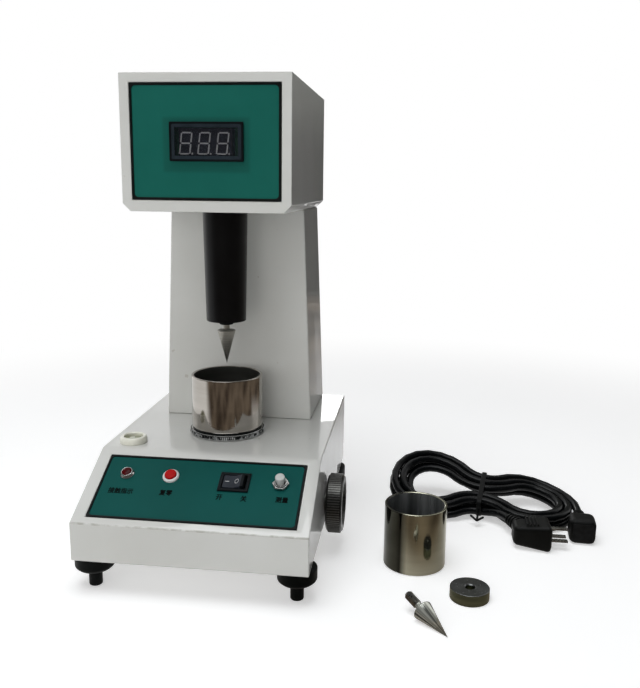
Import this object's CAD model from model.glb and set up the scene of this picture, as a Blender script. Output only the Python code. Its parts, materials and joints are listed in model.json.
import bpy, bmesh, json
from math import atan2, cos, pi, radians, sin, tan
from mathutils import Matrix, Vector

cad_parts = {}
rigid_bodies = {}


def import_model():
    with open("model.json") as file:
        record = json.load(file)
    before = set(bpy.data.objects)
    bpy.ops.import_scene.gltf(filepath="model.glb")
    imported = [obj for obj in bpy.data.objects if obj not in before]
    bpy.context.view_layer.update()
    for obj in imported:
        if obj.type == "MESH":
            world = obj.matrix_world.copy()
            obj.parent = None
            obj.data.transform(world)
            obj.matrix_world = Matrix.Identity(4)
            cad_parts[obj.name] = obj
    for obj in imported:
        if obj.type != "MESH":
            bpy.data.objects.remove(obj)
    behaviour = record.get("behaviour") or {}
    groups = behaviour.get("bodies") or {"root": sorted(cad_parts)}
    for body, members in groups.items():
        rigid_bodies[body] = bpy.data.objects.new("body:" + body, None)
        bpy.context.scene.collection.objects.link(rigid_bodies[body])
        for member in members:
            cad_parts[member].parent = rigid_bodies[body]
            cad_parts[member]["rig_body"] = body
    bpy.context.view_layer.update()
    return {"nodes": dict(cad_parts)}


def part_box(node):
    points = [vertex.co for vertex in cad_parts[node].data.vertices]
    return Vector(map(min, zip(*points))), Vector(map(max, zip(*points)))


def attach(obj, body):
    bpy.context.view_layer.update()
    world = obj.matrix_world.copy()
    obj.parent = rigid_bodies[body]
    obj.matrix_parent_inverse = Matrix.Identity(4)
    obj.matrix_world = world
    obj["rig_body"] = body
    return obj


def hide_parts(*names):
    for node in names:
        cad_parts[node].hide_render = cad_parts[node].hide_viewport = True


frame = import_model()
nodes = frame["nodes"]
scene = bpy.context.scene
scene.view_settings.view_transform = "Standard"
mm = 0.001
print("frame loaded:", len(nodes), "nodes")


def placed(name, data):
    thing = bpy.data.objects.new(name, data)
    scene.collection.objects.link(thing)
    return thing


# camera at the photograph's place
shot = {
    "place": (142.1, -576.2, 271.9), "yaw": -6.99, "pitch": 11.46, "roll": 0.71, "lens": 41.39, "sensor": 36,
}


def addCamera(s):
    yaw, pitch, roll = (radians(s[turn]) for turn in ("yaw", "pitch", "roll"))
    ahead = Vector((sin(yaw) * cos(pitch), cos(yaw) * cos(pitch), -sin(pitch)))
    right = Vector((cos(yaw), -sin(yaw), 0))
    up = right.cross(ahead)
    right, up = right * cos(roll) + up * sin(roll), up * cos(roll) - right * sin(roll)
    data = bpy.data.cameras.new("shotCamera")
    data.lens, data.sensor_width = s["lens"], s["sensor"]
    camera = placed("shotCamera", data)
    turn = Matrix((right, up, -ahead)).transposed().to_4x4()
    camera.matrix_world = Matrix.Translation(Vector(s["place"]) * mm) @ turn
    scene.camera = camera


addCamera(shot)
print("camera set")


# node helpers: an input is a plain value or another node's output, whose id_data is the tree
socketKind = bpy.types.NodeSocket


def feed(node, inputs):
    for socket, value in inputs.items():
        if isinstance(value, socketKind):
            node.id_data.links.new(value, node.inputs[socket])
        else:
            node.inputs[socket].default_value = value
    return node


def addNode(tree, kind, inputs={}):
    return feed(tree.nodes.new("ShaderNode" + kind), inputs)


def noiseOn(mapping, scale, detail):
    inputs = {"Vector": mapping.outputs["Vector"], "Scale": scale, "Detail": detail}
    return addNode(mapping.id_data, "TexNoise", inputs).outputs["Fac"]


def rampOn(value, tones, span):
    ramp = addNode(value.id_data, "ValToRGB", {"Fac": value})
    for stop, tone, place in zip(ramp.color_ramp.elements, tones, span):
        stop.color, stop.position = (*tone, 1), place
    return ramp


def mathOn(operation, first, second=None):
    tree = (first if isinstance(first, socketKind) else second).id_data
    node = addNode(tree, "Math", {0: first} if second is None else {0: first, 1: second})
    node.operation = operation
    return node.outputs["Value"]


def times(first, second):
    return mathOn("MULTIPLY", first, second)


def rangeOn(value, source, target=(0, 1), kind="LINEAR"):
    node = addNode(value.id_data, "MapRange")
    node.interpolation_type = kind
    ends = dict(zip(("From Min", "From Max", "To Min", "To Max"), (*source, *target)))
    return feed(node, {"Value": value, **ends}).outputs["Result"]


def spanOn(value, span):
    return rangeOn(value, span, kind="SMOOTHSTEP")


def partsOf(vector):
    return addNode(vector.id_data, "SeparateXYZ", {"Vector": vector}).outputs


def reachOn(first, second):  # how far two offsets lead together
    return mathOn("SQRT", mathOn("ADD", *(mathOn("POWER", way, 2) for way in (first, second))))


def blendOn(mask, under, over, kind="MIX"):
    mix = addNode(under.id_data, "Mix")
    mix.data_type, mix.blend_type = "RGBA", kind
    return feed(mix, {0: mask, 6: under, 7: over}).outputs[2]


def tintOver(under, mask, tint):
    return blendOn(mask, under, (*tint, 1))


# finishes: a Principled shader with tone, roughness and bump from noise on object coordinates
finishBase = {
    "toneSpan": (0.35, 0.65), "toneDetail": 4, "grainSpan": (0.3, 0.7), "grainDetail": 3, "depth": 0.0002,
}
socketNames = {
    "metal": "Metallic", "shine": "Specular IOR Level", "coat": "Coat Weight", "coatRough": "Coat Roughness",
    "brushed": "Anisotropic", "clear": "Alpha",
}


def toned(dark, light, toneScale, grainScale, least, most, bump, stretch=(1, 1, 1), **sockets):
    return {
        "tones": (dark, light), "toneScale": toneScale, "grainScale": grainScale, "rough": (least, most),
        "bump": bump, "stretch": stretch, "set": {socketNames[key]: value for key, value in sockets.items()},
    }


def newFinish(name, look):
    s = {**finishBase, **look}
    finish = bpy.data.materials.new(name)
    finish.use_nodes = True
    tree = finish.node_tree
    shader = feed(tree.nodes["Principled BSDF"], s["set"])
    spot = addNode(tree, "TexCoord").outputs["Object"]
    mapping = addNode(tree, "Mapping", {"Vector": spot, "Scale": s["stretch"]})
    blend = rampOn(noiseOn(mapping, s["toneScale"], s["toneDetail"]), s["tones"], s["toneSpan"])
    grain = noiseOn(mapping, s["grainScale"], s["grainDetail"])
    bump = addNode(tree, "Bump", {"Strength": s["bump"], "Distance": s["depth"], "Height": grain})
    tone, rough = blend.outputs["Color"], rangeOn(grain, s["grainSpan"], s["rough"])
    feed(shader, {"Base Color": tone, "Roughness": rough, "Normal": bump.outputs["Normal"]})
    made = {"shader": shader, "spot": spot, "mapping": mapping, "blend": blend, "tone": tone, "bump": bump}
    return finish, made


paintLook = {
    **toned(
        (0.66, 0.66, 0.63), (0.72, 0.725, 0.70), 9, 260, 0.3, 0.38, 0.012, coat=0.85, coatRough=0.03,
        shine=0.2),
    "wear": (0.42, 0.41, 0.37), "wearScale": 210, "wearSpan": (0.36, 0.62), "wearDetail": 5,
    "wave": 16, "waveStrength": 0.12, "waveDepth": 0.004, "waveDetail": 1,
    "specks": 0.755, "speckScale": 150, "speckDetail": 2, "speckTone": (0.46, 0.43, 0.37), "speckDepth": 0.5,
}


def paintFinish(look):
    finish, n = newFinish("offWhitePaint", look)
    tree = finish.node_tree
    rub = addNode(tree, "Attribute")  # how far a rounded bend is rubbed, 0 to 1
    rub.attribute_name = "edgeRub"
    chips = rangeOn(noiseOn(n["mapping"], look["wearScale"], look["wearDetail"]), look["wearSpan"])
    chipMask = times(rub.outputs["Fac"], chips)
    specks = noiseOn(n["mapping"], look["speckScale"], look["speckDetail"])
    speckMask = times(mathOn("GREATER_THAN", specks, look["specks"]), look["speckDepth"])
    tone = tintOver(n["tone"], speckMask, look["speckTone"])
    sway = noiseOn(n["mapping"], look["wave"], look["waveDetail"])  # bent sheet is never quite flat
    swell = {"Strength": look["waveStrength"], "Distance": look["waveDepth"], "Height": sway}
    wave = addNode(tree, "Bump", swell)
    tone = tintOver(tone, chipMask, look["wear"])
    feed(n["shader"], {"Base Color": tone, "Coat Normal": wave.outputs["Normal"]})
    return finish


filmLook = {
    **toned((0.0064, 0.112, 0.088), (0.0094, 0.131, 0.103), 14, 2600, 0.36, 0.46, 0.05, shine=0.06),
    "halo": (0.006, 0.073, 0.059), "haloDepth": 0.5, "haloFade": 2,
    "haloSides": {"X": (0.6, 30.2), "Z": (295.9, 18.6)},  # middle and half width
}
controlFilmLook = {**filmLook, "tones": ((0.0030, 0.071, 0.063), (0.0044, 0.084, 0.075))}


def filmFinish(look, name, halo):
    finish, n = newFinish(name, look)
    if halo:  # a darker tone round the display
        parts = partsOf(n["spot"])
        fades = []
        for axis, (centre, half) in look["haloSides"].items():
            away = mathOn("ABSOLUTE", mathOn("SUBTRACT", parts[axis], centre * mm))
            fades.append(rangeOn(away, (half * mm, (half - look["haloFade"]) * mm)))
        mask = times(times(*fades), look["haloDepth"])
        feed(n["shader"], {"Base Color": tintOver(n["tone"], mask, look["halo"])})
    return finish


finishLooks = {
    "blackEdging": toned(
        (0.003, 0.0045, 0.0045), (0.006, 0.008, 0.008), 90, 1800, 0.5, 0.65, 0.12, shine=0.16),
    "blackMoulding": toned(
        (0.0028, 0.0042, 0.0052), (0.0058, 0.008, 0.0095), 60, 3200, 0.32, 0.45, 0.1, shine=0.08),
    "footMoulding": toned(
        (0.002, 0.0028, 0.0024), (0.004, 0.005, 0.0045), 70, 2200, 0.4, 0.55, 0.14, shine=0.1),
    "tubeCoating": toned(
        (0.0025, 0.0025, 0.003), (0.0045, 0.0045, 0.005), 40, 1500, 0.3, 0.38, 0.05, shine=0.18),
    "cupSteel": toned(
        (0.4, 0.375, 0.34), (0.46, 0.43, 0.395), 12, 160, 0.05, 0.11, 0.015, (1, 1, 14), metal=1),
    "spareCupSteel": toned(
        (0.41, 0.405, 0.31), (0.49, 0.485, 0.38), 12, 160, 0.08, 0.15, 0.015, (1, 1, 10), metal=1),
    "coneSteel": toned(
        (0.3, 0.285, 0.25), (0.4, 0.385, 0.345), 60, 220, 0.3, 0.4, 0.05, (1, 1, 20), metal=0.6),
    "cupInside": toned(
        (0.042, 0.043, 0.038), (0.062, 0.063, 0.057), 24, 300, 0.4, 0.5, 0.03, (1, 1, 6), metal=0.4),
    "spareCupInside": toned(
        (0.07, 0.075, 0.077), (0.26, 0.27, 0.275), 110, 200, 0.26, 0.36, 0.02, (1, 1, 0.08), metal=0.5),
    "threadSteel": toned((0.24, 0.235, 0.22), (0.4, 0.39, 0.365), 200, 900, 0.24, 0.36, 0.1, metal=1),
    "tableChrome": toned((0.62, 0.62, 0.62), (0.72, 0.72, 0.72), 120, 700, 0.06, 0.16, 0.05, metal=1),
    "panelChrome": toned((0.6, 0.6, 0.59), (0.7, 0.7, 0.69), 150, 900, 0.1, 0.2, 0.04, metal=1),
    "zincPlate": toned((0.42, 0.42, 0.41), (0.56, 0.56, 0.54), 110, 600, 0.3, 0.45, 0.1, metal=1),
    "turnedSteel": toned((0.28, 0.28, 0.275), (0.4, 0.4, 0.39), 80, 500, 0.22, 0.34, 0.08, metal=1),
    "knobMetal": toned((0.05, 0.05, 0.046), (0.105, 0.105, 0.098), 240, 1200, 0.26, 0.42, 0.18, metal=0.85),
    "bronzeBush": toned((0.42, 0.26, 0.11), (0.52, 0.34, 0.16), 70, 700, 0.3, 0.45, 0.08, metal=1),
    "varnishedCopper": toned((0.26, 0.09, 0.035), (0.36, 0.14, 0.05), 60, 300, 0.25, 0.4, 0.3, (1, 1, 12)),
    "boardGreen": toned((0.012, 0.1, 0.04), (0.02, 0.15, 0.06), 200, 1100, 0.3, 0.5, 0.1),
    "redLens": toned((0.035, 0.0015, 0.002), (0.08, 0.003, 0.004), 300, 900, 0.05, 0.1, 0.03, shine=0.08),
    "redCap": toned((0.4, 0.006, 0.006), (0.48, 0.009, 0.009), 160, 2400, 0.36, 0.46, 0.06, shine=0.08),
    "whiteRing": toned((0.68, 0.68, 0.67), (0.76, 0.76, 0.75), 140, 1800, 0.25, 0.36, 0.06),
    "buttonGrey": toned((0.5, 0.5, 0.49), (0.6, 0.6, 0.585), 140, 1800, 0.3, 0.42, 0.07),
    "levelIvory": toned(
        (0.8, 0.795, 0.69), (0.87, 0.865, 0.77), 120, 1500, 0.18, 0.28, 0.05, coat=0.4, coatRough=0.05),
    "leadSheath": toned(
        (0.0014, 0.0018, 0.0021), (0.0028, 0.0034, 0.0039), 70, 1300, 0.2, 0.29, 0.05, shine=0.17),
    "tieWire": toned((0.0012, 0.0014, 0.0014), (0.0025, 0.003, 0.003), 90, 1900, 0.4, 0.52, 0.1, shine=0.12),
    "pinSteel": toned((0.16, 0.155, 0.145), (0.26, 0.255, 0.24), 160, 700, 0.2, 0.32, 0.06, metal=1),
    "rockerFace": toned((0.016, 0.02, 0.028), (0.022, 0.027, 0.037), 120, 2400, 0.3, 0.42, 0.06, shine=0.2),
    "displayLip": toned((0.016, 0.023, 0.029), (0.022, 0.03, 0.038), 140, 1600, 0.14, 0.24, 0.03, shine=0.08),
    "weightSide": toned(
        (0.16, 0.19, 0.14), (0.25, 0.285, 0.21), 50, 420, 0.16, 0.26, 0.06, (1, 1, 8), metal=1),
    "plugMoulding": toned(
        (0.0016, 0.0019, 0.0016), (0.0032, 0.0036, 0.0032), 80, 2600, 0.42, 0.55, 0.14, shine=0.16),
    "printBlack": toned(
        (0.0012, 0.0016, 0.0016), (0.0022, 0.003, 0.003), 400, 2600, 0.6, 0.7, 0.05, shine=0.03),
    "printWhite": toned((0.55, 0.56, 0.57), (0.68, 0.69, 0.7), 400, 2600, 0.45, 0.55, 0.05),
    "darkRecess": toned((0.004, 0.004, 0.004), (0.009, 0.009, 0.009), 300, 1500, 0.6, 0.75, 0.1, shine=0.16),
}
finishes = {name: newFinish(name, look)[0] for name, look in finishLooks.items()}
knurlLooks = {
    "knobKnurl": {
        "of": "knobMetal", "axes": {"Y": -19.5, "Z": 37}, "span": (21.35, 21.95),
        "groove": (0.006, 0.006, 0.005), "crest": (0.115, 0.115, 0.108), "flecks": 900,
        "fleckSpan": (0.1, 0.5),
    },
    "tableKnurl": {
        "of": "tableChrome", "axes": {"X": 0, "Y": 0}, "span": (27.95, 28.4), "groove": (0.012, 0.014, 0.015),
        "crest": (0.80, 0.81, 0.82), "flecks": 330, "fleckSpan": (0.38, 0.62),
    },
}


# dark grooves and worn crests, told apart by their distance from the axis
def knurlFinish(name, look, fleckDetail=2, rimDepth=0.4):
    finish, n = newFinish(name, finishLooks[look["of"]])
    parts = partsOf(n["spot"])
    away = reachOn(*(mathOn("SUBTRACT", parts[axis], c * mm) for axis, c in look["axes"].items()))
    flecks = spanOn(noiseOn(n["mapping"], look["flecks"], fleckDetail), look["fleckSpan"])
    crests = spanOn(away, [r * mm for r in look["span"]])
    worn = rampOn(times(crests, flecks), (look["groove"], look["crest"]), (0, 1))
    rim = mathOn("GREATER_THAN", away, (look["span"][0] - rimDepth) * mm)
    tone = blendOn(rim, n["tone"], worn.outputs["Color"])
    feed(n["shader"], {"Base Color": tone})
    return finish


for name, look in knurlLooks.items():
    finishes[name] = knurlFinish(name, look)
bandLook = {
    "of": "spareCupSteel", "centre": 147, "radius": 22.5,
    "stops": (
        (0, 0.16), (0.2, 0.12), (0.27, 0.05), (0.38, 1.2), (0.55, 1.15), (0.8, 0.9), (0.95, 0.7), (1, 0.35)),
}


def bandedFinish(look):  # painted bands across the cup, after those that the photograph shows
    finish, n = newFinish("bandedSteel", finishLooks[look["of"]])
    parts = partsOf(n["spot"])
    sides = [(look["centre"] + way * look["radius"]) * mm for way in (-1, 1)]
    bands = addNode(finish.node_tree, "ValToRGB", {"Fac": rangeOn(parts["X"], sides)})
    stops = bands.color_ramp.elements
    for i, (place, tone) in enumerate(look["stops"]):
        stop = stops[i] if i < 1 else stops.new(place)
        stop.position, stop.color = place, (tone, tone, tone, 1)
    stops.remove(stops[-1])
    tone = blendOn(1, n["tone"], bands.outputs["Color"], "MULTIPLY")
    feed(n["shader"], {"Base Color": tone})
    return finish


finishes["spareCup"] = bandedFinish(bandLook)
finishes["paint"] = paintFinish(paintLook)
finishes["film"] = filmFinish(controlFilmLook, "controlFilm", False)
finishes["headFilm"] = filmFinish(filmLook, "headFilm", True)
print("finishes made:", len(finishes))


# shared mesh making
meshing = {
    "sharp": 32, "flatWeight": 100, "spinWeld": 1e-7, "weld": 1e-6, "flat": 0.6, "steep": 28,
    "turnSegments": 4,
}


def meshOf(name, bm):
    mesh = bpy.data.meshes.new(name)
    bm.to_mesh(mesh)
    bm.free()
    return mesh


def addPiece(name, bm, body, finish, replaced=()):
    mesh = meshOf(name, bm)
    for part in finish if isinstance(finish, (list, tuple)) else [finish]:
        mesh.materials.append(finishes[part])
    mesh.polygons.foreach_set("use_smooth", [True] * len(mesh.polygons))
    mesh.set_sharp_from_angle(angle=radians(meshing["sharp"]))
    piece = placed(name, mesh)
    even = piece.modifiers.new("evenNormals", "WEIGHTED_NORMAL")  # flat faces stay flat beside their bevels
    even.weight, even.keep_sharp = meshing["flatWeight"], True
    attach(piece, body)
    if replaced:
        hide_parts(*replaced)
    return piece


def eased(bm, geom, size, segments, affect="EDGES", **more):
    return bmesh.ops.bevel(bm, geom=geom, offset=size * mm, offset_type="OFFSET", affect=affect,
                           segments=segments, profile=0.5, material=-1, **more)


def moved(bm, place):
    bmesh.ops.transform(bm, matrix=place, verts=bm.verts)
    return bm


def facedOut(bm):
    bmesh.ops.recalc_face_normals(bm, faces=bm.faces)


def outline(bm, spots, closed=True):
    points = [bm.verts.new([c * mm for c in spot]) for spot in spots]
    for first, second in zip(points, points[1:] + points[:1] if closed else points[1:]):
        bm.edges.new((first, second))
    return points


def vertsIn(made):
    return [v for v in made["geom"] if isinstance(v, bmesh.types.BMVert)]


# a point of the profile is its radius, its height and how far it is rounded
def turned(profile, place=Matrix(), steps=72, closed=False):
    bm = bmesh.new()
    points = outline(bm, [(p[0], 0, p[1]) for p in profile], closed)
    rounds = {}
    for point, p in zip(points, profile):
        if len(p) > 2:
            rounds.setdefault(p[2], []).append(point)
    for size, corners in rounds.items():
        eased(bm, corners, size, meshing["turnSegments"], "VERTICES")
    bmesh.ops.spin(bm, geom=bm.verts[:] + bm.edges[:], cent=(0, 0, 0), axis=(0, 0, 1), angle=2 * pi,
                   steps=steps, use_merge=True)
    bmesh.ops.remove_doubles(bm, verts=bm.verts, dist=meshing["spinWeld"])
    facedOut(bm)
    return moved(bm, place)


def roundedBlock(size, edge, place=Matrix(), segments=3, narrow=(1, 1)):
    bm = bmesh.new()
    bmesh.ops.create_cube(bm, size=1)
    bmesh.ops.scale(bm, vec=(1, *narrow), verts=[v for v in bm.verts if v.co.x < 0])
    bmesh.ops.scale(bm, vec=Vector(size) * mm, verts=bm.verts)
    eased(bm, bm.edges[:], edge, segments)
    return moved(bm, place)


def joined(parts):
    whole = bmesh.new()
    for part, slot in parts:
        for face in part.faces:
            face.material_index = slot
        mesh = meshOf("step", part)
        whole.from_mesh(mesh)
        bpy.data.meshes.remove(mesh)
    return whole


def titled(node):
    return node.title().replace("_", "")


# the frame's own solid with its long edges rounded
def softEdged(node, finish, width, shortest=6, segments=2, rubbed=None):
    bm = bmesh.new()
    bm.from_mesh(nodes[node].data)
    bmesh.ops.remove_doubles(bm, verts=bm.verts, dist=meshing["weld"])
    bmesh.ops.dissolve_limit(bm, angle_limit=radians(meshing["flat"]), verts=bm.verts, edges=bm.edges)
    rub = bm.faces.layers.float.new("edgeRub")
    steep = radians(meshing["steep"])
    edges = [e for e in bm.edges if len(e.link_faces) == 2 and e.calc_length() > shortest * mm
             and e.calc_face_angle_signed() > steep]
    for face in eased(bm, edges, width, segments, clamp_overlap=True)["faces"]:
        face[rub] = rubbed(face.calc_center_median() / mm) if rubbed else 0
    bmesh.ops.triangulate(bm, faces=[f for f in bm.faces if len(f.verts) > 4])
    return addPiece("soft" + titled(node), bm, nodes[node]["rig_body"], finish, [node])


def dress(finish, *names):
    for name in names:
        data = nodes[name].data
        data.materials.clear()
        data.materials.append(finishes[finish])


def upAt(x, y, z=0):
    return Matrix.Translation((x * mm, y * mm, z * mm))


def turnBy(angle, axis):
    return Matrix.Rotation(angle, 4, axis)


slope = {"front": -113, "foot": 51, "rise": 32, "run": 61}


def onSlope(x=0, s=0, out=0):
    tilt = turnBy(atan2(slope["rise"], slope["run"]), "X")
    return upAt(0, slope["front"], slope["foot"]) @ tilt @ upAt(x, s, out)


# mains lead: the hank's centre line, in mm, then its plug, connector and tie
lead = {
    "thick": 6.5, "turns": 4.75, "half": 61, "fold": 20.5, "waist": 3.84, "tilt": 25, "at": (203, 71),
    "yaw": -9.8, "pitch": 7.1, "rest": 40, "perLoop": 48, "cross": 0.25, "nudge": 1 / 360, "look": 0.01,
    "bend": 50, "bendRadius": 28, "bendSteps": 10, "plugHigh": 10.5, "tail": 8, "roundness": 5,
}
leadReach = lead["half"] + lead["pitch"] * lead["turns"] / 2


def leadTilt(a):
    return radians(lead["tilt"] * (1 - a / leadReach) / 2)


def leadPlace(a, b, c):
    f, yaw, (x, y) = leadTilt(a), radians(lead["yaw"]), lead["at"]
    side = b * cos(f) - c * sin(f)
    z = lead["thick"] / 2 + lead["rest"] * sin(f) + b * sin(f) + c * cos(f)
    return Vector((x + a * cos(yaw) - side * sin(yaw), y + a * sin(yaw) + side * cos(yaw), z))


foldX = lead["half"] - lead["fold"]
drawRadius = (foldX ** 2 + lead["waist"] ** 2 - lead["fold"] ** 2) / (2 * (lead["fold"] - lead["waist"]))
foldAngle = pi - atan2(lead["waist"] + drawRadius, foldX)
foldShare = lead["fold"] * foldAngle / (lead["fold"] * foldAngle + drawRadius * (foldAngle - pi / 2)) / 4


def loopPoint(t):  # a round fold at each end, drawn in to the waist by an arc on each side
    t %= 1
    if t > 0.5:
        return -loopPoint(t - 0.5)
    if t > 0.25:
        spot = loopPoint(0.5 - t)
        return Vector((-spot.x, spot.y))
    if t <= foldShare:
        a = foldAngle * t / foldShare
        return Vector((foldX + lead["fold"] * cos(a), lead["fold"] * sin(a)))
    a = foldAngle - pi - (foldAngle - pi / 2) * (t - foldShare) / (0.25 - foldShare)
    return Vector((drawRadius * cos(a), lead["waist"] + drawRadius * (1 + sin(a))))


def smoothRise(k):
    return k * k * (3 - 2 * k)


def leadPoint(t):
    middle = lead["turns"] / 2
    along = loopPoint(t + lead["nudge"]) - loopPoint(t - lead["nudge"])
    spot = loopPoint(t) + Vector((along.y, -along.x)).normalized() * lead["pitch"] * abs(t - middle)
    k = min(1, max(0, (t - middle + lead["cross"]) / (2 * lead["cross"])))
    return leadPlace(spot.x, spot.y, lead["pitch"] * (1 - smoothRise(k)))


def leadRoute():
    count = round(lead["turns"] * lead["perLoop"])
    loops = [leadPoint(lead["turns"] * i / count) for i in range(count + 1)]
    away = leadPoint(lead["look"]) - leadPoint(0)
    away = Vector((away.x, away.y, 0)).normalized()
    start = loops[0] - away * lead["tail"]
    onward = leadPoint(lead["turns"]) - leadPoint(lead["turns"] - lead["look"])
    heading, last, r = atan2(onward.y, onward.x), loops[-1], lead["bendRadius"]
    bend = []
    for i in range(1, lead["bendSteps"] + 1):
        k = i / lead["bendSteps"]
        h = heading - radians(lead["bend"]) * k
        x, y = last.x + r * (sin(heading) - sin(h)), last.y - r * (cos(heading) - cos(h))
        bend.append(Vector((x, y, last.z + (lead["plugHigh"] - last.z) * smoothRise(k))))
    heading -= radians(lead["bend"])
    end = bend[-1] + Vector((cos(heading), sin(heading), 0)) * lead["thick"]
    return [start, start + away * lead["thick"], *loops, *bend, end], atan2(away.y, away.x) + pi, heading


route, connectorTurn, plugTurn = leadRoute()


def addLead():
    data = bpy.data.curves.new("leadTube", "CURVE")
    data.dimensions, data.bevel_depth, data.bevel_resolution = "3D", lead["thick"] / 2 * mm, lead["roundness"]
    data.use_fill_caps = True
    line = data.splines.new("POLY")
    line.points.add(len(route) - 1)
    for point, spot in zip(line.points, route):
        point.co = (*(spot * mm), 1)
    line.use_smooth = True
    data.materials.append(finishes["leadSheath"])
    tube = placed("leadTube", data)
    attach(tube, "root")
    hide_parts("lead_hank")
    return tube


plugShape = {
    "relief": 16, "reliefIn": 1, "reliefThin": 4.3, "reliefWide": 6.2, "reliefLip": 0.4, "ribs": 5,
    "reliefSteps": 32,
    "rib": ((0, 0, 0.3), (0.5, 0.55, 0.3), (-0.5, 0.65, 0.1), (-0.5, 0.95, 0.1)),  # out, along, rounding
    "size": (28, 26, 21), "edge": 3.4, "narrow": (0.62, 0.7), "back": 12, "collar": 2.4, "collarIn": 6,
    "collarSoft": 0.8, "collarBack": 0.8, "grips": 4, "grip": (1.3, 1.2), "gripIn": 8, "gripSoft": 0.5,
    "gripStep": 2.6, "gripFrom": -4, "gripLift": 0.1, "pins": ((-4, -3), (4, -3), (0, 5)),
    "pin": (13, 4, 1.6), "pinSoft": 0.35,
}
connectorShape = {
    "wide": 20, "long": 20, "high": 9.5, "edge": 4.6, "mouth": 1.2, "mouthIn": (5, 6), "mouthSoft": 0.5,
    "mouthBack": 0.5,
}
tieShape = {
    "wide": 4, "thick": 1.2, "gap": 0.5, "wire": 0.9, "wireSteps": 16, "corner": 5.5, "edge": 0.5,
    "rimAngle": 1.3, "lift": 2,
    "barbs": ((0, -0.5, 12.4), (-138, 11.3, 9), (140, 11.3, 8)),  # each end's turn, place and length
}


def reliefSleeve(s, place):
    length, thin, wide = s["relief"] + s["reliefIn"], s["reliefThin"], s["reliefWide"]
    profile, step = [(thin - s["reliefLip"], 0)], length / s["ribs"]
    for i in range(s["ribs"]):
        grown = thin + (wide - thin) * (i + 0.5) / s["ribs"]
        profile += [(grown + out, (i + along) * step, soft) for out, along, soft in s["rib"]]
    return turned(profile + [(wide, length), (0, length)], place, s["reliefSteps"])


def addPlug(s):
    sleeve = reliefSleeve(s, upAt(*route[-1]) @ turnBy(plugTurn, "Z") @ turnBy(pi / 2, "Y"))
    middle = route[-1] + Vector((cos(plugTurn), sin(plugTurn), 0)) * (s["relief"] + s["back"])
    long, wide, high = s["size"]

    def block(size, soft, x, y=0, z=0):
        return roundedBlock(size, soft, upAt(middle.x + x, middle.y + y, middle.z + z), 2)

    body = roundedBlock(s["size"], s["edge"], upAt(*middle), 4, s["narrow"])
    collarSize = (s["collar"], wide - s["collarIn"], high - s["collarIn"])
    collar = block(collarSize, s["collarSoft"], long / 2 - s["collarBack"])
    gripSize, gripHigh = (s["grip"][0], wide - s["gripIn"], s["grip"][1]), high / 2 + s["gripLift"]
    gripPlaces = [s["gripStep"] * i + s["gripFrom"] for i in range(s["grips"])]
    grips = [block(gripSize, s["gripSoft"], x, 0, gripHigh) for x in gripPlaces]
    pins = [block(s["pin"], s["pinSoft"], long / 2 + s["pin"][0] / 2, y, z) for y, z in s["pins"]]
    bm = joined([(part, 0) for part in (sleeve, body, collar, *grips)] + [(pin, 1) for pin in pins])
    return addPiece("leadPlug", bm, "root", ["plugMoulding", "pinSteel"], ["lead_plug"])


def addConnector(s, p):
    stand = upAt(*route[0]) @ turnBy(connectorTurn, "Z")
    sleeve = reliefSleeve(p, stand @ turnBy(pi / 2, "Y"))
    wide, long, high, low = s["wide"], s["long"], s["high"], -route[0].z
    middle = (high + low) / 2
    block = roundedBlock((long, wide, high - low), s["edge"], stand @ upAt(p["relief"] + long / 2, 0, middle))
    mouthSize = (s["mouth"], wide - s["mouthIn"][0], high - low - s["mouthIn"][1])
    mouthPlace = stand @ upAt(p["relief"] + long - s["mouthBack"], 0, middle)
    mouth = roundedBlock(mouthSize, s["mouthSoft"], mouthPlace, 2)
    bm = joined([(sleeve, 0), (block, 0), (mouth, 1)])
    return addPiece("leadConnector", bm, "root", ["plugMoulding", "darkRecess"], ["lead_connector"])


def addTie(s):
    room = lead["thick"] / 2 + s["gap"] + s["thick"] / 2
    half = lead["waist"] + lead["pitch"] * lead["turns"] / 2 + room
    low, high = -room, lead["pitch"] + room
    stand = upAt(*leadPlace(0, 0, 0)) @ turnBy(radians(lead["yaw"]), "Z") @ turnBy(leadTilt(0), "X")
    bm = bmesh.new()
    corners = outline(bm, [(0, y, z) for y, z in ((-half, low), (half, low), (half, high), (-half, high))])
    eased(bm, corners, s["corner"], 8, "VERTICES")
    strip = bmesh.ops.extrude_edge_only(bm, edges=bm.edges[:])
    bmesh.ops.translate(bm, vec=(s["wide"] * mm, 0, 0), verts=vertsIn(strip))
    bmesh.ops.translate(bm, vec=(-s["wide"] / 2 * mm, 0, 0), verts=bm.verts)
    facedOut(bm)
    bmesh.ops.solidify(bm, geom=bm.faces[:], thickness=s["thick"] * mm)
    eased(bm, [e for e in bm.edges if e.is_manifold and e.calc_face_angle(0) > s["rimAngle"]], s["edge"], 3)
    moved(bm, stand)
    wires = []
    out = stand @ upAt(0, -half - s["thick"] / 2, s["lift"]) @ turnBy(pi / 2, "X")
    for turn, along, long in s["barbs"]:
        lay = out @ upAt(0, 0, along) @ turnBy(radians(turn), "Y")
        profile = [(0, 0), (s["wire"], 0.1), (s["wire"], long - 0.6, 0.4), (0, long)]
        wires.append(turned(profile, lay, s["wireSteps"]))
    return addPiece("leadTie", joined([(bm, 0), *((w, 0) for w in wires)]), "root", "tieWire", ["lead_tie"])


leadTube = addLead()
plugPiece = addPlug(plugShape)
connectorPiece = addConnector(connectorShape, plugShape)
tiePiece = addTie(tieShape)


# painted housings, from the frame's own solids with their bends rounded
rubbing = {
    "top": 84, "front": -108, "bend": 51, "bendHalf": 2, "bendRub": 0.8, "frontRub": 0.35, "otherRub": 0.14,
}
housings = {"base_housing": 0.8, "column_shell": 1.2, "head_housing": 1.2, "head_cover": 0.5}  # rounding


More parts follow.
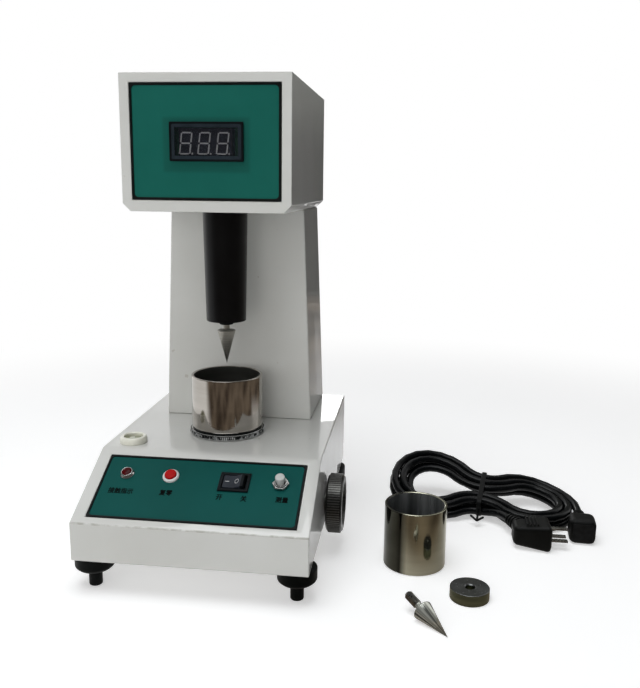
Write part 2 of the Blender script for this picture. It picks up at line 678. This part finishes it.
def rubOnHousing(spot):  # the bend above the front strip is rubbed most
    if spot.z < rubbing["top"] and spot.y < rubbing["front"]:
        onBend = abs(spot.z - rubbing["bend"]) < rubbing["bendHalf"]
        return rubbing["bendRub" if onBend else "frontRub"]
    return rubbing["otherRub"]


for node, width in housings.items():
    softEdged(node, "paint", width, shortest=11, rubbed=rubOnHousing)
print("housings painted")


# black edgings with rounded corners round the two green panels
edgingShape = {
    "inset": 0.1, "band": 1.9, "out": 0.35, "deep": 2.4, "corner": 2.6, "outerCorner": 1.0, "soft": 0.45,
    "rimAngle": 1,
}


def roundedRectangle(bm, box, inset, corner):
    x0, x1, y0, y1 = (side + way * inset for side, way in zip(box, (1, -1, 1, -1)))
    known = set(bm.edges)
    points = outline(bm, [(x0, y0, 0), (x1, y0, 0), (x1, y1, 0), (x0, y1, 0)])
    eased(bm, points, corner, 5, "VERTICES")
    return [e for e in bm.edges if e not in known]


def addEdging(name, box, place, node, s):
    bm = bmesh.new()
    outer = roundedRectangle(bm, box, s["inset"], s["outerCorner"])
    inner = roundedRectangle(bm, box, s["band"], s["corner"])
    bmesh.ops.bridge_loops(bm, edges=outer + inner)
    facedOut(bm)
    grown = bmesh.ops.extrude_face_region(bm, geom=bm.faces[:])
    bmesh.ops.translate(bm, vec=(0, 0, (s["out"] + s["deep"]) * mm), verts=vertsIn(grown))
    bmesh.ops.translate(bm, vec=(0, 0, -s["deep"] * mm), verts=bm.verts)
    facedOut(bm)
    rims = [e for e in bm.edges if all(v.co.z > 0 for v in e.verts) and e.calc_face_angle(0) > s["rimAngle"]]
    eased(bm, rims, s["soft"], 3)
    moved(bm, place)
    return addPiece(name, bm, "root", "blackEdging", [node])


headFront = upAt(0, -53) @ turnBy(pi / 2, "X")
addEdging("headEdging", (-51.2, 51.2, 259.7, 335.7), headFront, "head_panel_edging", edgingShape)
controlEdging = {**edgingShape, "band": 1.6}
addEdging("controlEdging", (-71, 71, 6.1, 61.98), onSlope(), "control_panel_edging", controlEdging)
print("edgings laid")


# display: bezel with a sloped inner lip, window and digits
displayLook = {
    "window": toned(
        (0.012, 0.014, 0.021), (0.016, 0.019, 0.028), 60, 900, 0.04, 0.08, 0.01, clear=0.25, shine=0.6),
    "block": toned((0.010, 0.011, 0.016), (0.016, 0.018, 0.025), 200, 1800, 0.35, 0.5, 0.05),
    "segment": toned((0.48, 0.48, 0.49), (0.58, 0.58, 0.59), 500, 1800, 0.4, 0.55, 0.04),
    "side": toned((0.05, 0.055, 0.055), (0.075, 0.08, 0.08), 300, 1500, 0.4, 0.55, 0.08),
}
digitShape = {
    "right": 18.0, "face": -52.2, "proud": 0.2, "centres": (-13.3, -0.8, 11.7), "middle": 297, "high": 14.6,
    "wide": 7.9, "line": 0.95, "flatGap": 2.1, "uprightGap": 1.3, "slant": 7, "dot": 1.2, "dotOut": 1.2,
    "blockSoft": 0.25, "barSoft": 0.12, "dotSoft": 0.18, "sideways": 0.7,
}
bezelShape = {
    "centre": (1, 298), "size": (50, 25.4), "rim": 1.5, "opening": (42.8, 18.2), "out": 1.4, "lip": 1.05,
    "back": 0.2, "corner": 0.8, "openingCorner": 0.5, "soft": 0.3,
}
for part, look in displayLook.items():
    finishes[part] = newFinish("display" + part.title(), look)[0]


def addDigits(s):
    low, high = (Vector(corner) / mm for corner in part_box("display_digits"))
    blockSize = (s["right"] - low.x, high.y - s["face"], high.z - low.z)
    middle = upAt((low.x + s["right"]) / 2, (high.y + s["face"]) / 2, (low.z + high.z) / 2)
    block = roundedBlock(blockSize, s["blockSoft"], middle, 1)
    half, reach, line, deep, dot = s["high"] / 2, s["wide"] / 2, s["line"], 2 * s["proud"], s["dot"]
    bars = [(0, z, s["wide"] - s["flatGap"] * line, line) for z in (line / 2 - half, 0, half - line / 2)]
    upright = half - s["uprightGap"] * line
    bars += [(x * (reach - line / 2), z * half / 2, line, upright) for x in (-1, 1) for z in (-1, 1)]
    lean = Matrix(((1, 0, tan(radians(s["slant"])), 0), (0, 1, 0, 0), (0, 0, 1, 0), (0, 0, 0, 1)))
    lit = []
    for centre in s["centres"]:
        stand = upAt(centre, s["face"], s["middle"]) @ lean
        lit += [roundedBlock((w, deep, h), s["barSoft"], stand @ upAt(x, 0, z), 1) for x, z, w, h in bars]
        dotPlace = stand @ upAt(reach + s["dotOut"], 0, dot / 2 - half)
        lit.append(roundedBlock((dot, deep, dot), s["dotSoft"], dotPlace, 1))
    bm = joined([(block, 0), *((bar, 1) for bar in lit)])
    bm.normal_update()
    for face in bm.faces:
        if face.normal.x > s["sideways"] and face.material_index == 0:
            face.material_index = 2
    addPiece("digitBlock", bm, "root", ["block", "segment", "side"], ["display_digits"])


def addBezel(s):
    bm = bmesh.new()
    cx, cy = s["centre"]
    whole, opening = ((cx - w / 2, cx + w / 2, cy - h / 2, cy + h / 2) for w, h in (s["size"], s["opening"]))
    outer = roundedRectangle(bm, whole, 0, s["corner"])
    rim = roundedRectangle(bm, whole, s["rim"], s["corner"])
    hole = roundedRectangle(bm, opening, 0, s["openingCorner"])
    bmesh.ops.translate(bm, vec=(0, 0, s["out"] * mm), verts=bm.verts)
    holeVerts = list({v for e in hole for v in e.verts})
    bmesh.ops.translate(bm, vec=(0, 0, (s["lip"] - s["out"]) * mm), verts=holeVerts)
    bmesh.ops.bridge_loops(bm, edges=outer + rim)
    for face in bmesh.ops.bridge_loops(bm, edges=rim + hole)["faces"]:
        face.material_index = 1
    for edges in (outer, hole):
        for v in vertsIn(bmesh.ops.extrude_edge_only(bm, edges=edges)):
            v.co.z = s["back"] * mm
    facedOut(bm)
    eased(bm, outer + rim, s["soft"], 3)
    moved(bm, headFront)
    addPiece("displayBezel", bm, "root", ["blackMoulding", "displayLip"], ["display_bezel"])


addBezel(bezelShape)
addDigits(digitShape)
dress("window", "display_window")
dress("headFilm", "head_panel")
dress("film", "control_panel")
print("display dressed")


# tube, cones, cups and weight
tubeShape = [(11.5, 171), (11.5, 170, 0.4), (14.85, 170, 0.6), (16.5, 252), (16.5, 262), (11.5, 262)]
capShape = [
    (4.05, 167), (5.0, 167, 0.3), (5.4, 167.6, 0.3), (5.4, 170), (11.4, 170.05), (11.4, 175), (4.05, 175),
]
coneShape = [
    (0, 0), (6.6, 24.6, 0.3), (6.75, 25.3, 0.2), (6.4, 25.9, 0.3), (2.9, 26.4, 0.3), (2.4, 26.8),
    (2.4, 30.19),
]
coneTip = 136.81
addPiece("sleeveTube", turned(tubeShape, closed=True), "root", "tubeCoating", ["tube"])
addPiece("sleeveCap", turned(capShape, closed=True), "root", "blackMoulding", ["tube_cap"])
addPiece("dropCone", turned(coneShape, upAt(0, 0, coneTip)), "plunger", "coneSteel", ["cone"])

cups = {
    "sampleCup": {"radius": 27, "high": 40.5, "edge": 2.0, "at": (0, 0, 88), "body": "cup",
                  "skins": ["cupSteel", "cupInside"], "node": "sample_cup"},
    "spareCup": {"radius": 22.5, "high": 46, "edge": 1.4, "at": (147, -33, 0), "body": "loose_cup",
                 "skins": ["spareCup", "spareCupInside"], "node": "second_cup"},
}
cupWalls = {"wall": 2, "lip": 0.5, "inner": 0.7, "floor": 1.4, "steps": 96, "slack": 0.02, "floorSlack": 0.1}


def addCup(name, s, r):
    outer, wall = s["radius"], r["wall"]
    inner = outer - wall
    profile = [(0, 0), (outer, 0, s["edge"]), (outer, s["high"], r["lip"]), (inner, s["high"], r["inner"]),
               (inner, wall, r["floor"]), (0, wall)]
    bm = turned(profile, upAt(*s["at"]), r["steps"])
    for face in bm.faces:  # the inside keeps a duller skin
        spot = face.calc_center_median() / mm - Vector(s["at"])
        within = Vector((spot.x, spot.y)).length < inner + r["slack"]
        face.material_index = int(within and spot.z > wall - r["floorSlack"])
    addPiece(name, bm, s["body"], s["skins"], [s["node"]])


for cupName, cup in cups.items():
    addCup(cupName, cup, cupWalls)


def threaded(radius, low, high, pitch, depth):
    count = int((high - low) / pitch)
    rings = []
    for i in range(count):
        rings += [(radius - depth, low + i * pitch), (radius, low + (i + 0.5) * pitch)]
    return rings + [(radius - depth, low + count * pitch)]


spareConeShape = [
    (0, 0), (6.6, 24.6, 0.3), (6.75, 25.3, 0.2), (6.3, 26.0, 0.4), (3.2, 26.9, 0.6), (2.4, 27.8, 0.3),
    (2.4, 30.1),
]
spareStemShape = [(2.3, 30), *threaded(3, 30.4, 40.4, 1, 0.5), (2.0, 41.19), (0, 41.19)]
spareConeLook = {
    **toned((0.09, 0.095, 0.088), (0.66, 0.67, 0.60), 70, 260, 0.16, 0.26, 0.05, metal=0.7),
    "toneSpan": (0.42, 0.56), "streaks": 11, "tip": (168.7, -130, 0.02), "turn": 130, "lean": 75,
    "stemSteps": 48,
}
spareTurn, spareLean = (radians(spareConeLook[way]) for way in ("turn", "lean"))
spareLie = upAt(*spareConeLook["tip"]) @ turnBy(spareTurn, "Z") @ turnBy(spareLean, "Y")


def spareConeFinish(look):  # streaked along its length, so the tone changes round the axis
    finish, n = newFinish("spareConeSteel", look)
    n["mapping"].vector_type = "TEXTURE"
    feed(n["mapping"], {"Location": spareLie.translation, "Rotation": spareLie.to_euler()})
    around = addNode(finish.node_tree, "TexGradient", {"Vector": n["mapping"].outputs["Vector"]})
    around.gradient_type = "RADIAL"
    streaks = addNode(finish.node_tree, "TexNoise")
    streaks.noise_dimensions = "1D"
    feed(streaks, {"W": around.outputs["Fac"], "Scale": look["streaks"]})
    feed(n["blend"], {"Fac": streaks.outputs["Fac"]})
    return finish


finishes["spareCone"] = spareConeFinish(spareConeLook)
spareStem = turned(spareStemShape, spareLie, spareConeLook["stemSteps"])
spareCone = joined([(turned(spareConeShape, spareLie), 0), (spareStem, 1)])
addPiece("spareCone", spareCone, "loose_cone", ["spareCone", "threadSteel"], ["second_cone"])

weightLook = {
    **toned((0.115, 0.12, 0.12), (0.15, 0.155, 0.152), 40, 500, 0.2, 0.28, 0.03, metal=1, brushed=0.75),
    "centre": (184.5, -79), "rings": 700, "ringStray": 0.6, "steps": 96, "sideways": 0.5,
}
weightShape = [(3.1, 0.3), (3.5, 0), (13.3, 0, 0.5), (13.3, 8, 0.5), (3.8, 8, 0.2), (3.1, 7.3)]


def weightFinish(look):
    finish, n = newFinish("weightSteel", look)
    feed(n["mapping"], {"Location": (*(-c * mm for c in look["centre"]), 0)})
    spot = n["mapping"].outputs["Vector"]
    lines = {"Vector": spot, "Scale": look["rings"], "Distortion": look["ringStray"]}
    rings = addNode(finish.node_tree, "TexWave", lines)
    rings.wave_type, rings.rings_direction = "RINGS", "Z"
    feed(n["bump"], {"Height": rings.outputs["Fac"]})
    turnedWay = addNode(finish.node_tree, "Tangent")
    turnedWay.direction_type, turnedWay.axis = "RADIAL", "Z"
    feed(n["shader"], {"Tangent": turnedWay.outputs["Tangent"]})
    return finish


finishes["weight"] = weightFinish(weightLook)
weight = turned(weightShape, upAt(*weightLook["centre"]), weightLook["steps"], True)
for face in weight.faces:
    face.material_index = int(abs(face.normal.z) < weightLook["sideways"])
addPiece("discWeight", weight, "loose_weight", ["weight", "weightSide"], ["disc_weight"])
print("tube, cones, cups and weight turned")


# the lift table keeps the frame's knurled solid, and the knob has it with softened edges
dress("tableKnurl", "lift_table")
dress("blackEdging", "table_pad")
softEdged("lift_knob", "knobKnurl", 0.25, shortest=40)
dress("knobMetal", "shaft_bush")
print("lift dressed")


# controls on the slanted panel: place on the slope, steps, closed, body, finish, node, profile
lampAt, zeroAt, measureAt = (-54, 45), (-22.6, 45), (55, 43)
controls = {
    "lampRing": (lampAt, 64, True, "root", "panelChrome", "lamp_bezel", [
        (3.55, -3), (3.55, 2.3, 0.1), (3.9, 2.3, 0.15), (4.2, 1.4, 0.3), (5.05, 0.5, 0.3), (5.1, -0.4),
        (3.8, -0.4), (3.8, -3)]),
    "lampDome": (lampAt, 64, False, "root", "redLens", "lamp_lens", [
        (3.5, -2), (3.5, 2.45, 0.3), (2.8, 2.85, 0.3), (1.5, 3.08), (0, 3.15)]),
    "zeroRing": (zeroAt, 64, True, "root", "whiteRing", "zero_button_ring", [
        (4.2, -3), (4.2, 1.2, 0.3), (4.6, 1.45, 0.4), (5.4, 1.05, 0.5), (5.8, 0.25, 0.3), (5.8, -0.4),
        (4.4, -0.4), (4.4, -3)]),
    "zeroCap": (zeroAt, 64, False, "zero_button", "redCap", "zero_button_cap", [
        (4.1, -10), (4.1, 2.7, 0.7), (2.0, 2.8), (0, 2.8)]),
    "measureBarrel": (measureAt, 64, True, "root", "panelChrome", "measure_button_bush", [
        (3.45, -3), (3.45, 2.6, 0.15), (4.0, 2.6, 0.15), *reversed(threaded(4.25, 0, 2.4, 0.6, 0.25)),
        (4.2, -0.4), (3.7, -0.4), (3.7, -3)]),
    "measureCap": (measureAt, 64, False, "measure_button", "buttonGrey", "measure_button_cap", [
        (2.6, -8), (2.6, 4.0, 0.2), (3.3, 4.2, 0.3), (3.3, 8.1, 0.7), (1.5, 8.2), (0, 8.2)]),
    "measureNut": (measureAt, 6, True, "root", "panelChrome", "measure_button_nut", [
        (4.3, 0), (4.3, 1.7), (5.3, 1.7, 0.1), (5.95, 1.3), (5.95, 0.3), (5.5, 0)]),
}
for name, (spot, steps, closed, body, finish, node, profile) in controls.items():
    addPiece(name, turned(profile, onSlope(*spot), steps, closed), body, finish, [node])

rockerMark = {
    "share": 0.82, "pivot": (22.9, 42.4, -0.6), "tilt": -10, "ridge": 1.6, "half": 7.45, "rise": 1.314,
    "bar": (3.0, 0.45, 0.08), "barSoft": 0.03, "barAt": -4.725, "ring": (1.25, 1.6), "ringAt": 2.125,
    "ringSpan": (-0.04, 0.05), "line": 0.22, "steps": 48,
}
softEdged("switch_frame", "blackMoulding", 0.6, shortest=8, segments=3)
rockerPiece = softEdged("switch_rocker", ["blackMoulding", "rockerFace"], 0.4, shortest=4, segments=3)
bm = bmesh.new()
bm.from_mesh(rockerPiece.data)
across = [v.co.x for v in bm.verts]
# lighter left of this line, as in the photograph
split = min(across) + rockerMark["share"] * (max(across) - min(across))
bmesh.ops.bisect_plane(bm, geom=bm.verts[:] + bm.edges[:] + bm.faces[:], plane_co=(split, 0, 0),
                       plane_no=(1, 0, 0))
for face in bm.faces:
    face.material_index = int(face.calc_center_median().x < split)
bm.to_mesh(rockerPiece.data)
bm.free()


def addRockerMarks(s):
    stand = onSlope(*s["pivot"]) @ turnBy(radians(s["tilt"]), "Y")

    def onFace(x):  # the face rises from its middle to both ends
        lean = atan2(s["rise"], s["half"]) * (1 if x < 0 else -1)
        return stand @ upAt(x, 0, s["ridge"] + s["rise"] * abs(x) / s["half"]) @ turnBy(lean, "Y")

    bar = roundedBlock(s["bar"], s["barSoft"], onFace(s["barAt"]), 1)
    (wide, high), (low, top) = s["ring"], s["ringSpan"]
    profile = [(wide, low), (wide + s["line"], low), (wide + s["line"], top), (wide, top)]
    ring = turned(profile, onFace(s["ringAt"]) @ Matrix.Diagonal((1, high / wide, 1, 1)), s["steps"], True)
    addPiece("rockerMarks", joined([(bar, 0), (ring, 0)]), "rocker", "printWhite")


addRockerMarks(rockerMark)
labels = {  # generic words under the controls: text, x, place up the slope
    "contactLabel": ("接触指示", -54, 29.4), "zeroLabel": ("复零", -22.4, 30.0),
    "onLabel": ("开", 14.9, 29.1), "offLabel": ("关", 31.7, 28.8), "measureLabel": ("测量", 57.6, 29.7),
}
labelLook = {
    "size": 4.8, "stretch": (0.92, 1.08, 1, 1), "out": -0.385, "thick": 0.012, "bold": 0.14, "layer": 0.004,
}


def addLabel(name, words, x, s, look):
    data = bpy.data.curves.new(name, "FONT")
    data.body, data.size, data.extrude = words, look["size"] * mm, look["thick"] * mm
    data.align_x, data.align_y = "CENTER", "CENTER"
    text = placed(name, data)
    strokes = []
    # four prints a hair apart thicken the strokes
    for step, (right, up) in enumerate(((-1, -1), (1, -1), (1, 1), (-1, 1))):
        stroke = bmesh.new()
        stroke.from_mesh(text.to_mesh())
        text.to_mesh_clear()
        shift = upAt(right * look["bold"], up * look["bold"], look["layer"] * step)
        place = onSlope(x, s, look["out"]) @ shift @ Matrix.Diagonal(look["stretch"])
        strokes.append((moved(stroke, place), 0))
    bpy.data.objects.remove(text)
    addPiece(name, joined(strokes), "root", "printBlack")


for labelName, (words, x, s) in labels.items():
    addLabel(labelName, words, x, s, labelLook)
print("controls set and labelled")


# bubble level
levelRing = [
    (0, 79.6), (6.4, 79.6), (6.4, 83), (10, 83, 0.4), (10, 86.6, 0.9), (9.2, 88, 0.7), (7.4, 88, 0.5),
    (6.8, 87.2), (6.8, 84), (0, 84),
]
levelVial = [(6.75, 84.1), (6.75, 85.4), (5.6, 85.8), (3.1, 86.1), (0, 86.2)]
levelSpot = (-62, -37.5)
vialLook = {
    **toned(
        (0.30, 0.315, 0.20), (0.38, 0.395, 0.26), 60, 800, 0.05, 0.1, 0.02, coat=0.25, coatRough=0.02,
        shine=0.2),
    "bubble": (-1.4, 1.0), "bubbleSize": 2.6, "bubbleTone": (0.62, 0.63, 0.52), "rimWide": 0.45,
    "bubbleRim": (0.16, 0.17, 0.10),
}


def vialFinish(look):
    finish, n = newFinish("vialGlass", look)
    feed(n["mapping"], {"Location": (*(-(c + b) * mm for c, b in zip(levelSpot, look["bubble"])), 0)})
    parts = partsOf(n["mapping"].outputs["Vector"])
    away, tone, size = reachOn(parts["X"], parts["Y"]), n["tone"], look["bubbleSize"]
    for radius, tint in ((size, look["bubbleRim"]), (size - look["rimWide"], look["bubbleTone"])):
        tone = tintOver(tone, mathOn("LESS_THAN", away, radius * mm), tint)
    feed(n["shader"], {"Base Color": tone})
    return finish


finishes["vial"] = vialFinish(vialLook)
addPiece("levelRing", turned(levelRing, upAt(*levelSpot)), "root", "levelIvory", ["level_body"])
addPiece("levelVial", turned(levelVial, upAt(*levelSpot)), "root", "vial", ["level_vial"])
print("level set")


# screw feet
footShape = [
    (0, 0), (4.6, 0, 1.2), (4.6, 9.7, 0.4), (5.6, 10.3, 0.3), (11, 12.7, 0.8), (13.5, 14.9, 1.0),
    (13.5, 23.7, 0.8), (4, 23.7), (4, 41.5), (0, 41.5),
]
footEnds, footSides = {"front": -97, "back": 97}, {"left": -70, "right": 70}
for end, y in footEnds.items():
    for side, x in footSides.items():
        node, body = f"foot_{end}_{side}", f"foot_{end[0]}{side[0]}"
        addPiece("screw" + titled(node), turned(footShape, upAt(x, y)), body, "footMoulding", [node])
print("feet turned")


# the rest of the frame keeps its solids
dress("zincPlate", "base_plate", "cover_screws", "frame_bolts", "magnet_bracket", "shaft_bracket")
dress("boardGreen", "display_board", "control_board")
dress("bronzeBush", "guide_bushes", "stem_guide", "pinion")
dress("turnedSteel", "magnet_core", "sensor_body", "cone_rod", "armature", "lift_stem", "knob_shaft")
dress("varnishedCopper", "magnet_coil", "transformer")
softEdged("power_inlet", "blackMoulding", 0.6, shortest=8, segments=3)
print("inner pieces dressed")


# floor, world and lamps
stageLook = {
    "floor": 6, "tone": 0.85, "glow": 0.44, "centre": (0.1, 0.02), "near": 0.4, "far": 0.85,
    "front": (0.03, 0.19), "frontWay": (0.5, -1), "right": (0.02, 0.12), "rightWay": (0.996, -0.087),
    "rightFrom": (0.18, 0.36), "roomScale": 7, "roomSpan": (0.36, 0.62),
    "roomTones": ((0.06, 0.045, 0.034), (0.21, 0.168, 0.128)),
}


def seenDirectly(tree):
    path = addNode(tree, "LightPath").outputs
    either = mathOn("MAXIMUM", path["Is Glossy Ray"], path["Is Transmission Ray"])
    return mathOn("MAXIMUM", path["Is Camera Ray"], either), mathOn("SUBTRACT", 1, path["Is Camera Ray"])


def mixOn(mask, first, second):
    return addNode(mask.id_data, "MixShader", {0: mask, 1: first, 2: second}).outputs[0]


def glowOn(tree, tone, strength=1):
    return addNode(tree, "Emission", {"Color": tone, "Strength": strength}).outputs[0]


def stagePlane(name, size, place=Matrix()):
    bm = bmesh.new()
    bmesh.ops.create_grid(bm, x_segments=1, y_segments=1, size=size)
    mesh = meshOf(name, moved(bm, place))
    plane = placed(name, mesh)
    finish = bpy.data.materials.new(name)
    finish.use_nodes = True
    mesh.materials.append(finish)
    return plane, finish.node_tree


def addFloor(s):
    tree = stagePlane("paleFloor", s["floor"])[1]
    tree.nodes.clear()
    pureWhite = (1, 1, 1, 1)
    flat = addNode(tree, "BsdfDiffuse", {"Color": (s["tone"],) * 3 + (1,)}).outputs[0]
    lit = addNode(tree, "AddShader", {0: flat, 1: glowOn(tree, pureWhite, s["glow"])}).outputs[0]
    spot = addNode(tree, "TexCoord").outputs["Object"]
    parts = partsOf(spot)
    distance = reachOn(*(mathOn("SUBTRACT", parts[axis], c) for axis, c in zip("XY", s["centre"])))
    white = mixOn(spanOn(distance, (s["near"], s["far"])), lit, glowOn(tree, pureWhite))
    ahead, across = (
        mathOn("ADD", *(times(parts[axis], k) for axis, k in zip("XY", s[way])))
        for way in ("frontWay", "rightWay")
    )
    front = spanOn(ahead, s["front"])
    right = times(spanOn(across, s["right"]), spanOn(distance, s["rightFrom"]))
    seen, bounced = seenDirectly(tree)
    room = times(mathOn("MAXIMUM", front, right), bounced)
    uneven = addNode(tree, "TexNoise", {"Vector": spot, "Scale": s["roomScale"]}).outputs["Fac"]
    dim = glowOn(tree, rampOn(uneven, s["roomTones"], s["roomSpan"]).outputs["Color"])
    white = mixOn(room, white, dim)  # the room in front and on the right, only in reflections
    addNode(tree, "OutputMaterial", {"Surface": mixOn(seen, flat, white)})


worldLook = {
    "left": 0.42, "right": 0.05, "sideSpan": (-0.7, 0.6), "low": 1.35, "high": 0.3, "liftSpan": (0, 0.8),
    "tone": (1.0, 0.99, 0.97, 1), "room": 0.92, "roomSpan": (-0.45, 0.0),
}


def addWorld(s):
    world = bpy.data.worlds.new("studioWorld")
    scene.world = world
    world.use_nodes = True
    tree = world.node_tree
    tree.nodes.clear()
    parts = partsOf(addNode(tree, "TexCoord").outputs["Generated"])
    side = rangeOn(parts["X"], s["sideSpan"], (s["left"], s["right"]))
    lift = rangeOn(parts["Z"], s["liftSpan"], (s["low"], s["high"]))  # more from low down than from overhead
    soft = addNode(tree, "Background", {"Color": s["tone"], "Strength": times(side, lift)}).outputs[0]
    seen, bounced = seenDirectly(tree)
    front = spanOn(times(parts["Y"], -1), s["roomSpan"])
    room = times(times(front, s["room"]), bounced)
    strength = mathOn("SUBTRACT", 1, room)  # white behind the object, dimmer in front in reflections
    white = addNode(tree, "Background", {"Color": (1, 1, 1, 1), "Strength": strength}).outputs[0]
    addNode(tree, "OutputWorld", {"Surface": mixOn(seen, soft, white)})


lamps = {  # place, aim, size, power, tone, seen in mirrors
    "keyLamp": ((-0.5, -1.45, 0.55), (0.02, 0, 0.15), 1.5, 6.8, (1, 1, 1), False),
    "lowLamp": ((0.12, -1.45, 0.22), (0.02, 0, 0.12), 0.8, 3.2, (1, 1, 0.98), False),
    "topLamp": ((-0.1, -0.3, 1.7), (0.05, 0, 0), 1.2, 16.5, (0.96, 0.98, 1.0), True),
    "backLamp": ((-0.085, 1.45, 0.5), (0.07, 0.08, 0.083), 0.13, 0.32, (1, 1, 1), True),  # glint on the top
}


def addLamp(name, place, aim, size, power, tone, mirrored):
    data = bpy.data.lights.new(name, "AREA")
    data.shape, data.size, data.energy, data.color = "SQUARE", size, power, tone
    lamp = placed(name, data)
    lamp.location, lamp.visible_glossy = place, mirrored
    lamp.rotation_euler = (Vector(aim) - Vector(place)).to_track_quat("-Z", "Y").to_euler()


board = {
    "x": (0.02, 1.5), "y": 1.45, "z": (0.0, 1.3), "tones": ((0.05, 0.043, 0.036), (0.30, 0.30, 0.27)),
    "span": (0.33, 0.55),
}


def addBoard(s):  # behind the object, seen only in reflections
    wide, high = s["x"][1] - s["x"][0], s["z"][1] - s["z"][0]
    middle = Matrix.Translation((sum(s["x"]) / 2, s["y"], sum(s["z"]) / 2))
    place = middle @ turnBy(pi / 2, "X") @ Matrix.Diagonal((wide, high, 1, 1))
    plane, tree = stagePlane("darkBoard", 0.5, place)
    plane.visible_camera = plane.visible_shadow = plane.visible_diffuse = False
    parts = partsOf(addNode(tree, "TexCoord").outputs["Object"])
    tone = rampOn(spanOn(parts["Z"], s["span"]), s["tones"], (0, 1))  # darker low down
    feed(tree.nodes["Principled BSDF"], {"Base Color": tone.outputs["Color"]})


addFloor(stageLook)
addWorld(worldLook)
addBoard(board)
for lampName, row in lamps.items():
    addLamp(lampName, *row)
print("stage lit")
